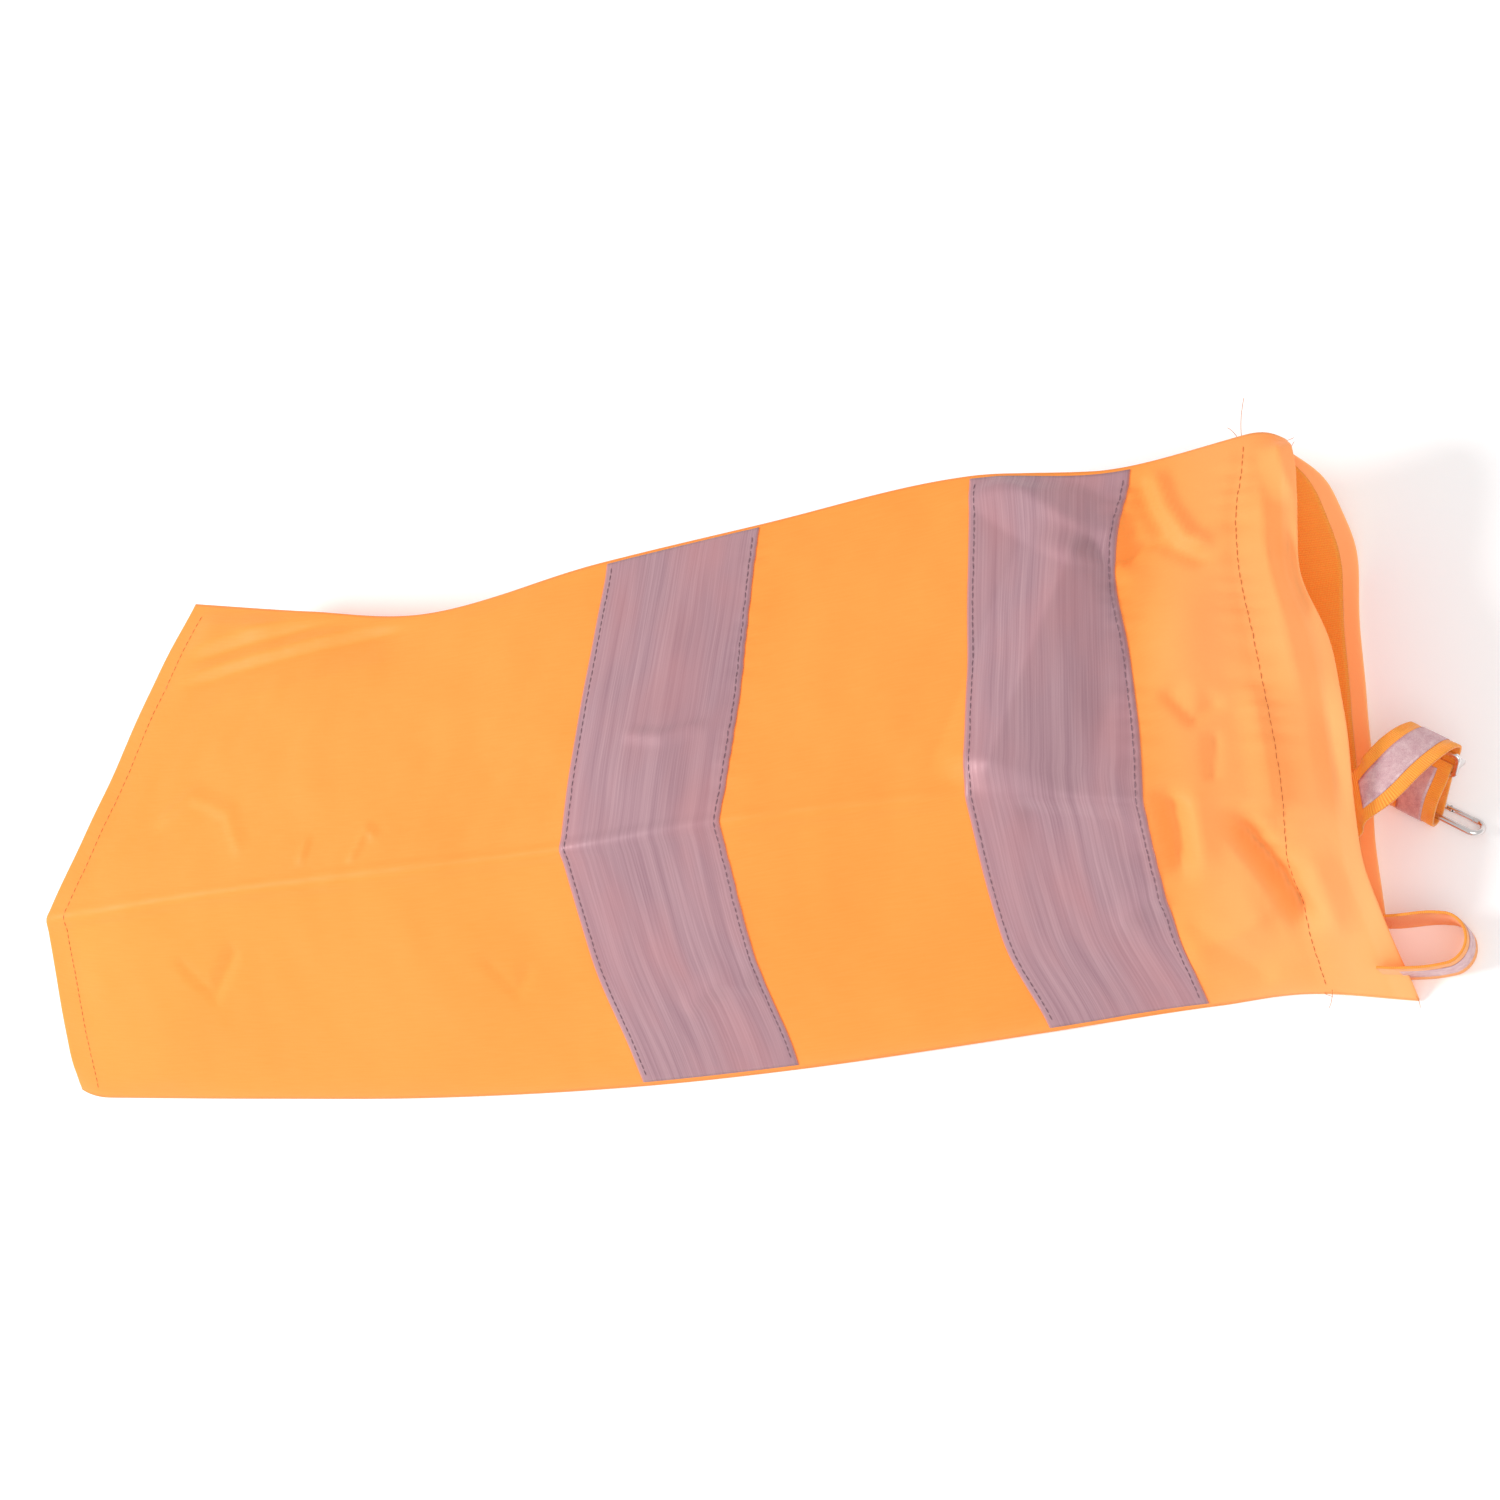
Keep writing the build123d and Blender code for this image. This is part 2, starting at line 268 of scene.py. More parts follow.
def bead_look(name, light, dark):
    """Glass-bead tape: a fine sparkle over grey and pink, partly painted highlight, each bead painted
    lighter at its middle, and partly real, from the beads' bump and the metal.
    """
    k = Look(name)
    uv = k.uv()
    beads = k.add("TexVoronoi", {"Vector": uv, "Scale": 2600.0}).outputs["Distance"]
    soft = k.noise(k.solid(), 260.0, 4.0, 0.7)
    # painted highlight: each bead is lighter at its middle and darker at its edge
    share = k.math(
        "ADD", k.spread(beads, 0.1, 0.7, 0.0, 0.5), k.spread(soft, 0.35, 0.65, 0.0, 0.5)
    )
    colour = k.mix(share, light, dark)
    bump = k.add(
        "Bump", {"Strength": 0.5, "Distance": 0.0001, "Height": beads}
    ).outputs[0]
    surface = k.add(
        "BsdfPrincipled",
        {
            "Base Color": colour,
            "Roughness": k.spread(soft, 0.3, 0.7, 0.3, 0.5),
            "Metallic": 0.25,
            "Normal": bump,
        },
    ).outputs[0]
    return k.finish(surface)


def thread_look(name, light, dark):
    k = Look(name)
    twist = k.noise(k.solid(), 1500.0, 2.0)
    tone = k.noise(k.solid(), 60.0, 2.0)
    share = k.math(
        "ADD", k.spread(twist, 0.3, 0.7, 0.0, 0.6), k.spread(tone, 0.3, 0.7, 0.0, 0.4)
    )
    bump = k.add(
        "Bump", {"Strength": 0.4, "Distance": 0.0001, "Height": twist}
    ).outputs[0]
    surface = k.add(
        "BsdfPrincipled",
        {
            "Base Color": k.mix(share, light, dark),
            "Roughness": k.spread(twist, 0.3, 0.7, 0.5, 0.7),
            "Normal": bump,
        },
    ).outputs[0]
    return k.finish(surface)


def metal_look(name, light, dark, rough):
    """Plated steel: bright, with a faint cloudiness and fine scratches."""
    k = Look(name)
    cloud = k.noise(k.solid(), 120.0, 3.0)
    scratch = k.noise(k.scaled(k.solid(), 300.0, 2200.0, 300.0), 1.0, 2.0)
    bump = k.add(
        "Bump", {"Strength": 0.12, "Distance": 0.00005, "Height": scratch}
    ).outputs[0]
    surface = k.add(
        "BsdfPrincipled",
        {
            "Base Color": k.mix(k.spread(cloud, 0.3, 0.7), light, dark),
            "Metallic": 1.0,
            "Roughness": k.spread(scratch, 0.3, 0.7, rough, rough + 0.14),
            "Normal": bump,
        },
    ).outputs[0]
    return k.finish(surface)


ORANGE = cloth_look(
    "orange cloth",
    light=rgb(255, 181, 86),
    dark=rgb(255, 171, 74),
    pale=rgb(255, 203, 132),
    # the colour of the painted light that the cloth gives off by itself
    painted_glow=rgb(255, 138, 44),
    through=0.34,
)
TAPE_GREY = tape_look("reflective tape")
WEB_ORANGE = webbing_look("orange webbing", rgb(255, 178, 60), rgb(238, 128, 28))
BEADS = bead_look("glass bead stripe", rgb(236, 205, 205), rgb(196, 150, 158))
GREY_THREAD = thread_look("grey thread", rgb(150, 118, 128), rgb(112, 82, 94))
ORANGE_THREAD = thread_look("orange thread", rgb(226, 132, 62), rgb(176, 92, 40))
CHROME = metal_look("chrome", (0.82, 0.78, 0.77, 1), (0.7, 0.64, 0.63, 1), 0.1)
PIN_STEEL = metal_look("pin steel", (0.55, 0.53, 0.52, 1), (0.4, 0.38, 0.37, 1), 0.25)


# ---- Meshes ---------------------------------------------------------------------------------
def unit(v):
    return v / np.maximum(np.linalg.norm(v, axis=-1, keepdims=True), 1e-12)


def normals(grid):
    """Unit normals of a grid of points."""
    return unit(np.cross(np.gradient(grid, axis=0), np.gradient(grid, axis=1)))


def new_object(name, points, faces, uvs, material):
    mesh = bpy.data.meshes.new(name)
    mesh.from_pydata(points.tolist(), [], faces.tolist())
    layer = mesh.uv_layers.new(name="UVMap")
    layer.data.foreach_set("uv", uvs[faces.ravel()].astype(np.float32).ravel())
    mesh.polygons.foreach_set("use_smooth", [True] * len(mesh.polygons))
    mesh.materials.append(material)
    piece = bpy.data.objects.new(name, mesh)
    bpy.context.scene.collection.objects.link(piece)
    return piece


def quads(index):
    """The quads of a grid of vertex numbers."""
    return np.stack(
        [index[:-1, :-1], index[1:, :-1], index[1:, 1:], index[:-1, 1:]], axis=-1
    ).reshape(-1, 4)


def borders(upper, lower):
    """The four borders of a closed sheet, each as two lines of vertices to join."""
    return (
        (upper[0], lower[0]),
        (lower[-1], upper[-1]),
        (lower[:, 0], upper[:, 0]),
        (upper[:, -1], lower[:, -1]),
    )


def slab(name, grid, uv, thickness, material, facing=1.0, marks=None):
    """A closed thin sheet whose middle surface is the grid."""
    n, m = grid.shape[:2]
    offset = normals(grid) * thickness / 2 * facing
    points = np.concatenate([(grid + offset).reshape(-1, 3), (grid - offset).reshape(-1, 3)])
    upper = np.arange(n * m).reshape(n, m)
    lower = upper + n * m
    faces = [quads(upper), quads(lower)[:, ::-1]]
    for a, b in borders(upper, lower):
        faces.append(np.stack([a[:-1], a[1:], b[1:], b[:-1]], axis=-1))
    faces = np.concatenate(faces)
    if facing < 0:
        faces = faces[:, ::-1]
    uvs = np.concatenate([uv.reshape(-1, 2)] * 2)
    piece = new_object(name, points, faces, uvs, material)
    for key, values in (marks or {}).items():
        attribute = piece.data.attributes.new(key, "FLOAT", "POINT")
        doubled = np.concatenate([values.ravel()] * 2)
        attribute.data.foreach_set("value", doubled.astype(np.float32))
    return piece


def lengths(grid, axis):
    """Distance along a grid's lines from their start."""
    step = np.linalg.norm(np.diff(grid, axis=axis), axis=-1)
    start = np.zeros_like(np.take(step, [0], axis=axis))
    return np.concatenate([start, np.cumsum(step, axis=axis)], axis=axis)


# ---- The sock's surface ---------------------------------------------------------------------
# One row for each slanted line across the sock, from the tail to the rim: X at the bottom seam, X at
# the top seam, Y of the bottom seam, then (Y, Z) of the slope, the ridge, the saddle and the top
# seam, and last the Y at which the back cloth lifts off the floor.
STATIONS = [
    (-0.459, -0.354, -0.155, (-0.106, 0.047), (-0.057, 0.091), (0.050, 0.078), (0.155, 0.060), 0.078),
    (-0.310, -0.251, -0.163, (-0.108, 0.060), (-0.055, 0.112), (0.038, 0.099), (0.131, 0.080), 0.048),
    (-0.197, -0.167, -0.168, (-0.110, 0.062), (-0.054, 0.117), (0.032, 0.106), (0.116, 0.088), 0.034),
    (-0.040, -0.040, -0.168, (-0.109, 0.061), (-0.051, 0.118), (0.042, 0.109), (0.132, 0.093), 0.052),
    (0.060, 0.060, -0.163, (-0.103, 0.061), (-0.043, 0.118), (0.050, 0.109), (0.142, 0.093), 0.062),
    (0.209, 0.196, -0.150, (-0.094, 0.057), (-0.039, 0.110), (0.058, 0.102), (0.155, 0.090), 0.076),
    (0.309, 0.296, -0.141, (-0.095, 0.052), (-0.048, 0.099), (0.052, 0.094), (0.150, 0.084), 0.078),
    (0.366, 0.350, -0.138, (-0.098, 0.044), (-0.047, 0.074), (0.058, 0.082), (0.162, 0.076), 0.092),
    (0.414, 0.374, -0.145, (-0.103, 0.038), (-0.045, 0.057), (0.060, 0.072), (0.168, 0.070), 0.100),
]
BAND_1 = (3, 4)
BAND_2 = (5, 6)
HEM_LINE = 7
RIM = 8
TAIL = 0


def place(station, y, z):
    """A point of the station's slanted cross-section."""
    front, back, seam = station[0], station[1], station[2]
    top_y = station[6][0]
    return (front + (back - front) * (y - seam) / (top_y - seam), y, z)


def front_corners(station):
    seam, slope, ridge, saddle, top = station[2:7]
    return [place(station, *p) for p in ((seam, 0.0016), slope, ridge, saddle, top)]


def back_corners(station):
    seam, top, lift = station[2], station[6], station[7]
    rise = (lift + (top[0] - lift) * 0.45, top[1] * 0.36)
    points = ((seam, 0.0008), ((seam + lift) / 2, 0.0006), (lift, 0.0006), rise)
    return [place(station, *p) for p in points] + [place(station, top[0], top[1] - 0.0012)]


def hermite(knots, values, at):
    """A smooth curve through values at the knots."""
    knots = np.asarray(knots, float)
    values = np.asarray(values, float)
    slopes = np.empty_like(values)
    step = np.diff(knots).reshape((-1,) + (1,) * (values.ndim - 1))
    rise = np.diff(values, axis=0) / step
    slopes[1:-1] = (rise[:-1] * step[1:] + rise[1:] * step[:-1]) / (step[1:] + step[:-1])
    slopes[0] = rise[0]
    slopes[-1] = rise[-1]
    i = np.clip(np.searchsorted(knots, at, side="right") - 1, 0, len(knots) - 2)
    gap = knots[i + 1] - knots[i]
    s = ((at - knots[i]) / gap).reshape((-1,) + (1,) * (values.ndim - 1))
    gap = gap.reshape(s.shape)
    return (
        values[i] * (1 + 2 * s) * (1 - s) ** 2
        + slopes[i] * gap * s * (1 - s) ** 2
        + values[i + 1] * s**2 * (3 - 2 * s)
        + slopes[i + 1] * gap * s**2 * (s - 1)
    )


def three_point(p0, p1, p2, s):
    """A parabola through three points, spaced as the points are."""
    a = np.linalg.norm(p1 - p0, axis=-1)
    b = np.linalg.norm(p2 - p1, axis=-1)
    middle = (a / (a + b))[:, None, None]
    s = s[None, :, None]
    return (
        p0[:, None] * (s - middle) * (s - 1) / middle
        + p1[:, None] * s * (s - 1) / (middle * (middle - 1))
        + p2[:, None] * s * (s - middle) / (1 - middle)
    )


def softened(grid, reach):
    """The grid with the creases along it rounded over about reach cells."""
    weights = np.exp(-0.5 * (np.arange(-3 * reach, 3 * reach + 1) / reach) ** 2)
    weights /= weights.sum()
    pad = ((0, 0), (3 * reach, 3 * reach), (0, 0))
    padded = np.pad(grid, pad, mode="reflect", reflect_type="odd")
    size = grid.shape[1]
    return sum(w * padded[:, i : i + size] for i, w in enumerate(weights))


middles = [(s[0] + s[1]) / 2 for s in STATIONS]
row_knots = []
for i in range(len(middles) - 1):
    count = int(round((middles[i + 1] - middles[i]) / CELL))
    row_knots.extend(i + np.arange(count) / count)
row_knots.append(len(middles) - 1.0)
rows = np.array(row_knots)
row_x = np.interp(rows, np.arange(len(middles)), middles)


def base(corners_of, lower_columns, upper_columns, reach):
    """A panel before it is bowed and creased: two arcs across it, with the corner softened."""
    lines = hermite(middles, [corners_of(s) for s in STATIONS], row_x)
    p = [lines[:, i] for i in range(5)]
    lower = three_point(p[0], p[1], p[2], np.linspace(0, 1, lower_columns))
    upper = three_point(p[2], p[3], p[4], np.linspace(0, 1, upper_columns))
    return softened(np.concatenate([lower, upper[:, 1:]], axis=1), reach)


def row_at(knot):
    return int(np.argmin(np.abs(rows - knot)))


def along(grid, knot):
    """The line across the grid at a knot between rows."""
    i = int(np.clip(np.searchsorted(rows, knot, side="right") - 1, 0, len(rows) - 2))
    share = (knot - rows[i]) / (rows[i + 1] - rows[i])
    return grid[i] * (1 - share) + grid[i + 1] * share


# How far each cross-line is pushed along X where it lies, from the bottom seam to the top one.
LEAN_Y = (-0.150, -0.110, -0.080, -0.045, -0.010, 0.040, 0.080, 0.115, 0.145, 0.165)
LEVEL = (0,) * 10
TAIL_LEAN = (0.0008, -0.0006, 0.0, -0.0004, 0.0012, 0.0016, -0.0010, -0.0016, 0.0012, 0.0)
FRONT_LEAN = [
    TAIL_LEAN,
    LEVEL,
    LEVEL,
    (-0.003, -0.009, -0.007, -0.004, -0.002, 0.002, 0.005, 0.006, 0.007, 0.007),
    (-0.002, -0.008, -0.006, -0.004, 0.000, 0.004, 0.005, 0.005, 0.006, 0.006),
    (0.004, -0.009, -0.008, -0.005, -0.003, -0.002, -0.002, -0.001, -0.001, -0.001),
    (-0.003, -0.010, -0.011, -0.008, -0.008, -0.012, -0.019, -0.015, -0.008, -0.006),
    (0.002, 0.001, -0.002, 0.003, 0.001, -0.004, -0.009, -0.009, -0.002, -0.001),
    (0.005, -0.001, -0.005, -0.002, 0.002, 0.003, -0.009, -0.003, 0.001, -0.003),
]
BACK_LEAN = [
    TAIL_LEAN,
    *[LEVEL] * 7,
    (0.006, -0.007, -0.005, -0.004, 0.002, 0.005, 0.008, 0.015, 0.010, -0.009),
]


def leaned(grid, table):
    """The grid with its cross-lines bowed along X."""
    columns = np.arange(grid.shape[1])
    profile = np.array(
        [np.interp(grid[row_at(k), :, 1], LEAN_Y, shifts) for k, shifts in enumerate(table)]
    )
    kernel = np.exp(-0.5 * (np.arange(-9, 10) / 4.0) ** 2)
    kernel /= kernel.sum()
    profile = np.pad(profile, ((0, 0), (9, 9)), mode="edge")
    profile = sum(w * profile[:, i : i + len(columns)] for i, w in enumerate(kernel))
    moved = grid.copy()
    moved[..., 0] += hermite(middles, profile, row_x)
    # the mouth's corner at the top seam is rounded
    near_rim = np.clip(1 - (row_x[-1] - row_x) / 0.034, 0, 1)[:, None]
    near_seam = np.clip((moved[..., 1] - 0.140) / 0.028, 0, 1)
    moved[..., 1] -= 0.0075 * near_rim**2 * near_seam**2
    moved[..., 2] -= 0.0040 * near_rim**2 * near_seam**2
    # and so is the tail's corner at the bottom seam
    near_tail = np.clip(1 - (row_x - row_x[0]) / 0.022, 0, 1)[:, None]
    near_seam = np.clip((-0.128 - moved[..., 1]) / 0.026, 0, 1)
    moved[..., 1] += 0.0050 * near_tail**2 * near_seam**2
    moved[..., 0] += 0.0030 * near_tail**2 * near_seam**2
    return moved


def smooth_step(s):
    s = np.clip(s, 0, 1)
    return s * s * (3 - 2 * s)


def crease(xy, path, height, left, right, ends, sharp):
    """A fold along a path in plan: height at the path, falling to nothing left and right of it."""
    path = np.array(path, float)
    best = np.full(xy.shape[:-1], 1e9)
    side = np.zeros(xy.shape[:-1])
    reached = np.zeros(xy.shape[:-1])
    start = 0.0
    for a, b in zip(path[:-1], path[1:]):
        run = b - a
        size = np.linalg.norm(run)
        share = np.clip(((xy - a) @ run) / size**2, 0, 1)
        gap = xy - (a + share[..., None] * run)
        distance = np.linalg.norm(gap, axis=-1)
        nearer = distance < best
        best = np.where(nearer, distance, best)
        side = np.where(nearer, run[0] * gap[..., 1] - run[1] * gap[..., 0], side)
        reached = np.where(nearer, start + share * size, reached)
        start += size
    width = np.where(side > 0, left, right)
    fall = np.clip(1 - best / width, 0, 1) ** sharp
    taper = smooth_step(reached / ends + 0.05) * smooth_step((start - reached) / ends + 0.05)
    return height * fall * taper


def pillow(xy, centre, size, height):
    a, b = np.moveaxis((xy - np.array(centre)) / np.array(size), -1, 0)
    return height * np.exp(-(a**2) - b**2)


def waves(xy, count, low, high, seed):
    """Gentle unevenness: a few waves of random heading."""
    random = np.random.default_rng(seed)
    total = np.zeros(xy.shape[:-1])
    for _ in range(count):
        angle, phase = random.uniform(0, 2 * math.pi, 2)
        size = random.uniform(low, high)
        k = 2 * math.pi / size
        total += size * np.sin(
            k * (xy[..., 0] * math.cos(angle) + xy[..., 1] * math.sin(angle)) + phase
        )
    return total / (count**0.5 * high)


def sewn(xy):
    """Nothing at a panel's two seams, which stay where they are, and one a few cells away."""
    columns = np.arange(xy.shape[1])
    return smooth_step(np.minimum(columns, columns[::-1]) / 7)[None, :]


# Folds of the front cloth in plan: height, reach to the left and to the right of the path, length
# of the tapered ends, sharpness and the path.
PEAK = (0.2645, 0.1110)
CREASES = [
    # pressed fold along the ridge
    (0.0010, 0.006, 0.006, 0.03, 1.0,
     [(-0.44, -0.058), (-0.22, -0.056), (-0.045, -0.051), (0.057, -0.043), (0.20, -0.039)]),
    # the cloth folds over near the tail's upper corner
    (0.0030, 0.007, 0.060, 0.03, 1.1,
     [(-0.165, 0.116), (-0.247, 0.109), (-0.31, 0.103), (-0.352, 0.097)]),
    (-0.0034, 0.040, 0.009, 0.03, 1.1,
     [(-0.165, 0.127), (-0.247, 0.120), (-0.31, 0.114), (-0.352, 0.108)]),
    # second band: a facet that stands up from a point near its mouth side
    (0.0066, 0.050, 0.034, 0.02, 1.0, [PEAK, (0.245, 0.062), (0.220, -0.012), (0.209, -0.040)]),
    (0.0046, 0.022, 0.024, 0.012, 1.0, [(0.205, 0.158), (0.2323, 0.1356), PEAK, (0.290, 0.107)]),
    (-0.0022, 0.010, 0.014, 0.012, 1.25, [PEAK, (0.2774, 0.087), (0.285, 0.066)]),
    (-0.0018, 0.010, 0.018, 0.012, 1.25, [(0.225, -0.048), (0.26, -0.054), (0.292, -0.060)]),
    # between the second band and the hem
    (0.0034, 0.009, 0.014, 0.012, 1.25,
     [(0.299, 0.150), (0.308, 0.122), (0.320, 0.102), (0.336, 0.094)]),
    (-0.0030, 0.010, 0.008, 0.012, 1.25,
     [(0.291, 0.146), (0.300, 0.120), (0.312, 0.098), (0.334, 0.085)]),
    (-0.0022, 0.006, 0.008, 0.006, 1.25, [(0.284, 0.088), (0.294, 0.101), (0.308, 0.103)]),
    (-0.0026, 0.012, 0.007, 0.008, 1.25, [(0.306, 0.016), (0.3223, -0.0036), (0.338, 0.009)]),
    (-0.0018, 0.006, 0.006, 0.008, 1.25, [(0.3322, -0.008), (0.331, -0.040)]),
    (-0.0052, 0.012, 0.011, 0.016, 1.25, [(0.310, -0.036), (0.3085, -0.066), (0.305, -0.088)]),
    (0.0024, 0.012, 0.009, 0.016, 1.25, [(0.323, -0.040), (0.321, -0.082)]),
    (-0.0090, 0.012, 0.010, 0.022, 1.1,
     [(0.336, -0.050), (0.3549, -0.080), (0.364, -0.100), (0.368, -0.114)]),
    (0.0034, 0.014, 0.014, 0.02, 1.25, [(0.372, -0.066), (0.380, -0.090), (0.386, -0.118)]),
    (0.0030, 0.022, 0.016, 0.012, 1.25, [(0.296, -0.116), (0.331, -0.108), (0.352, -0.099)]),
    (-0.0020, 0.012, 0.012, 0.012, 1.25, [(0.300, -0.100), (0.325, -0.118), (0.345, -0.134)]),
    # the hem and the mouth's edge
    (0.0032, 0.012, 0.013, 0.03, 1.25,
     [(0.358, 0.140), (0.362, 0.090), (0.372, 0.040), (0.379, 0.000)]),
    (0.0026, 0.010, 0.012, 0.02, 1.25, [(0.352, 0.020), (0.358, -0.020), (0.362, -0.060)]),
    (-0.0034, 0.008, 0.012, 0.02, 1.25, [(0.371, 0.110), (0.375, 0.080), (0.385, 0.050)]),
    (-0.0026, 0.009, 0.010, 0.03, 1.25, [(0.388, 0.020), (0.390, -0.020), (0.395, -0.060)]),
    (0.0036, 0.012, 0.012, 0.012, 1.25, [(0.366, 0.160), (0.372, 0.135), (0.378, 0.118)]),
    # marks left by packing
    (0.0011, 0.010, 0.007, 0.014, 1.25,
     [(-0.345, -0.008), (-0.318, 0.012), (-0.285, -0.004), (-0.268, -0.036)]),
    (0.0012, 0.006, 0.004, 0.008, 1.25, [(-0.223, -0.046), (-0.218, -0.026)]),
    (0.0011, 0.005, 0.005, 0.006, 1.25, [(-0.187, -0.048), (-0.176, -0.026), (-0.168, -0.034)]),
    (-0.0013, 0.008, 0.006, 0.01, 1.25,
     [(-0.336, -0.086), (-0.317, -0.108), (-0.298, -0.094), (-0.284, -0.083)]),
    (-0.0008, 0.008, 0.006, 0.01, 1.25, [(-0.120, -0.098), (-0.104, -0.118), (-0.086, -0.104)]),
    (0.0013, 0.006, 0.008, 0.012, 1.25, [(-0.010, 0.016), (0.018, 0.012), (0.046, 0.018)]),
    (0.0014, 0.010, 0.008, 0.012, 1.25, [(-0.004, -0.132), (0.028, -0.118), (0.050, -0.122)]),
    (0.0013, 0.010, 0.008, 0.012, 1.25, [(0.262, -0.104), (0.288, -0.090), (0.302, -0.094)]),
]
PUFFED = [
    ((0.318, 0.045), (0.020, 0.045), 0.0045),
    ((0.322, -0.020), (0.012, 0.020), 0.0016),
]
# Lines along which the thread draws the cloth together: station, reach and size.
PUCKERED = ((HEM_LINE, 0.011, 0.0007), (BAND_1[1], 0.008, 0.00035), (BAND_2[1], 0.009, 0.0005))
RELIEF = 1.5


def relief(xy):
    """Height of the folds, dents and puckers of the front cloth."""
    h = 0.0010 * waves(xy, 9, 0.07, 0.22, 3)
    h += 0.00022 * waves(xy, 12, 0.018, 0.05, 4)
    for height, left, right, ends, sharp, path in CREASES:
        h += crease(xy, path, height, left, right, ends, sharp)
    for centre, size, height in PUFFED:
        h += pillow(xy, centre, size, height)
    run = xy[..., 1]
    for line, reach, size in PUCKERED:
        away = np.abs(row_x - middles[line])[:, None] / reach
        pucker = np.sin(run * 520 + 2.2 * np.sin(run * 97)) * 0.6 + 0.4 * np.sin(run * 263 + line)
        h += size * pucker * np.exp(-(away**2)) * np.interp(run, (-0.13, -0.09), (0.3, 1.0))
    h -= 0.0006 * np.exp(-(((row_x - middles[HEM_LINE]) / 0.004) ** 2))[:, None]
    return RELIEF * h * sewn(xy)


def back_relief(xy):
    """The same for the back cloth, whose mouth's edge lifts a little off the floor."""
    h = 0.0012 * waves(xy, 9, 0.06, 0.20, 11) + 0.00025 * waves(xy, 12, 0.02, 0.05, 12)
    mouth = smooth_step((rows[:, None] - 6.6) / 1.2)
    lift = 0.0045 * mouth * (0.6 + 0.4 * np.sin(xy[..., 1] * 88 + 1.0))
    rising = np.clip((xy[..., 1] - 0.02) / 0.06, 0, 1)
    return (h * (0.15 + 0.85 * rising) - np.abs(lift) * (1 - rising) * 0.9) * sewn(xy)


def hemmed(grid, out, hem_rows_tail, hem_rows_mouth):
    """The grid with a hem turned to the inside at both ends."""
    gap = HEM_GAP
    turn = np.linspace(0, math.pi, 6)[1:-1]
    first = grid[hem_rows_tail::-1] - out[hem_rows_tail::-1] * gap
    last = grid[: -hem_rows_mouth - 1 : -1] - out[: -hem_rows_mouth - 1 : -1] * gap
    pieces = [first]
    for angle in turn:
        pull = unit(grid[0] - grid[1]) * math.sin(angle) * gap / 2
        pieces.append((grid[0] + pull - out[0] * gap / 2 * (1 + math.cos(angle)))[None])
    pieces.append(grid)
    for angle in turn:
        pull = unit(grid[-1] - grid[-2]) * math.sin(angle) * gap / 2
        pieces.append((grid[-1] + pull - out[-1] * gap / 2 * (1 - math.cos(angle)))[None])
    pieces.append(last)
    return np.concatenate(pieces)


def flat_uv(grid):
    return np.stack([lengths(grid, 0), lengths(grid, 1)], axis=-1)


def outward(grid, away):
    n = normals(grid)
    return n if (n * away).sum() > 0 else -n


UPWARD = np.array([0, -0.3, 1.0])
DOWNWARD = np.array([0, 0.5, -1.0])
front_grid = leaned(base(front_corners, 58, 92, 1), FRONT_LEAN)
front_grid += outward(front_grid, UPWARD) * relief(front_grid[..., :2])[..., None]
front_out = outward(front_grid, UPWARD)
back_grid = leaned(base(back_corners, 96, 52, 3), BACK_LEAN)
back_grid += outward(back_grid, DOWNWARD) * back_relief(back_grid[..., :2])[..., None]
back_grid[..., 2] = np.maximum(back_grid[..., 2], 0.0005)
back_out = outward(back_grid, DOWNWARD)
tail_rows = int(round(TAIL_HEM / CELL))
mouth_rows = len(rows) - 1 - row_at(HEM_LINE) + 1
front_full = hemmed(front_grid, front_out, tail_rows, mouth_rows)
back_full = hemmed(back_grid, back_out, tail_rows, mouth_rows)


def paling_share(grid):
    """Paler towards the mouth, most of all on the crumpled part, and a little at the seams."""
    run = smooth_step((grid[..., 0] - 0.27) / 0.07)
    lip = smooth_step((grid[..., 0] - 0.36) / 0.03)
    seam = np.exp(-lengths(grid, 1) / 0.006) * 0.3
    return np.clip(run * 0.7 + lip * 0.3 + seam, 0, 1)


def lipped(grid):
    """One on the hem that is turned inside at the mouth, and on the mouth's edge, where a paler
    colour is painted as painted light, standing in for the light that falls there.
    """
    turned = np.zeros(grid.shape[:2])
    turned[-mouth_rows - 8 :] = 1.0
    return turned * smooth_step((grid[..., 0] - 0.34) / 0.02)


front_cloth = slab(
    "front_cloth",
    front_full,
    flat_uv(front_full),
    CLOTH,
    ORANGE,
    1.0,
    {"paling": paling_share(front_full), "lip": lipped(front_full) * 0.3},
)
back_cloth = slab(
    "back_cloth",
    back_full,
    flat_uv(back_full),
    CLOTH,
    ORANGE,
    -1.0,
    {"paling": paling_share(back_full), "lip": lipped(back_full)},
)
for piece in (front_cloth, back_cloth):
    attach(piece, "sock")
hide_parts("front_panel", "tail_hem_front", "mouth_hem_front")
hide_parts("back_panel", "tail_hem_back", "mouth_hem_back")


# ---- Reflective tape ------------------------------------------------------------------------
def tape(name, grid, out, knots, facing=1.0):
    """A band over the rows between two knots, just clear of the cloth."""
    window = (slice(row_at(knots[0]), row_at(knots[1]) + 1), slice(1, -1))
    part = grid[window] + out[window] * (CLOTH / 2 + TAPE / 2 + 0.0001)
    uv = flat_uv(part)
    edge = np.minimum(uv[..., 0], uv[-1:, :, 0] - uv[..., 0])
    piece = slab(name, part, uv, TAPE, TAPE_GREY, facing, {"edge": edge})
    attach(piece, "sock")
    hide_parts(name.replace("_tape", ""))
    return piece


for name, knots in (("band_1", BAND_1), ("band_2", BAND_2)):
    tape(name + "_front_tape", front_grid, front_out, knots)
    tape(name + "_back_tape", back_grid, back_out, knots, -1.0)


